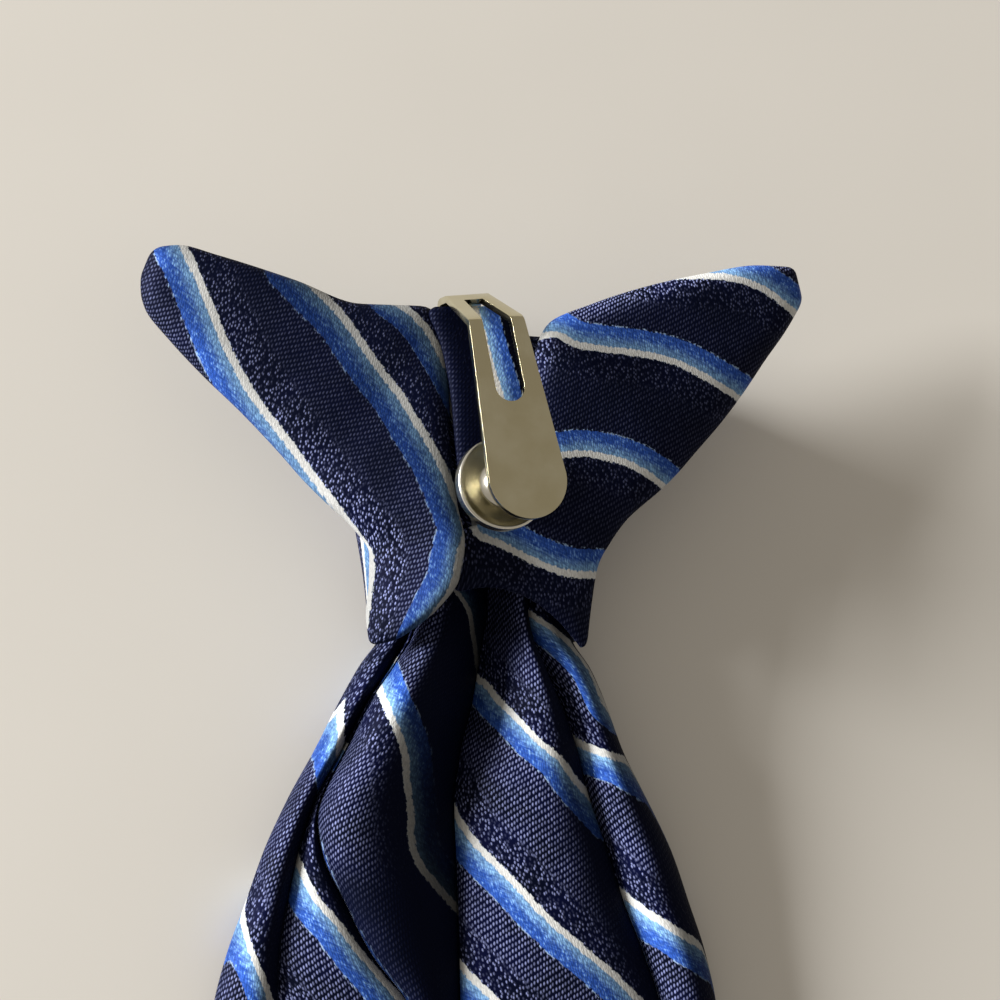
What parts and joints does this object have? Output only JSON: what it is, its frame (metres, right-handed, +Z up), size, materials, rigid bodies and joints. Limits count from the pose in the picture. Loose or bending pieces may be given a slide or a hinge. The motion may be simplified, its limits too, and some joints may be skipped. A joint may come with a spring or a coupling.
{
  "type": "clip-on necktie",
  "caption": "Pre-tied striped school necktie lying face down, with a gathered blade, a winged knot and a metal spring clip on the knot's back.",
  "frame": {"origin": "middle of the underside of the tie as it lies face down", "axes": "+Z up out of the tie's back, where the clip is; +Y along the tie to the top of the knot; +X to the right wing as seen from the back"},
  "size_m": [0.0888, 0.406, 0.0292],
  "materials": {
    "blade": "woven navy cloth with blue and white diagonal stripes, soft sheen",
    "knot_wrap": "woven navy cloth with blue and white diagonal stripes, soft sheen",
    "wing_left": "woven navy cloth with blue and white diagonal stripes, soft sheen",
    "wing_right": "woven navy cloth with blue and white diagonal stripes, soft sheen",
    "centre_band": "woven navy cloth with blue and white diagonal stripes, soft sheen",
    "clip_spring": "nickel plate, bright with fine scratches",
    "clip_button": "nickel plate, bright with fine scratches"
  },
  "bodies": {
    "root": {"blade": "blade", "knot_wrap": "knot_wrap", "wing_left": "wing_left", "wing_right": "wing_right", "centre_band": "centre_band", "clip_spring": "clip_spring", "clip_button": "clip_button"}
  },
  "joints": []
}
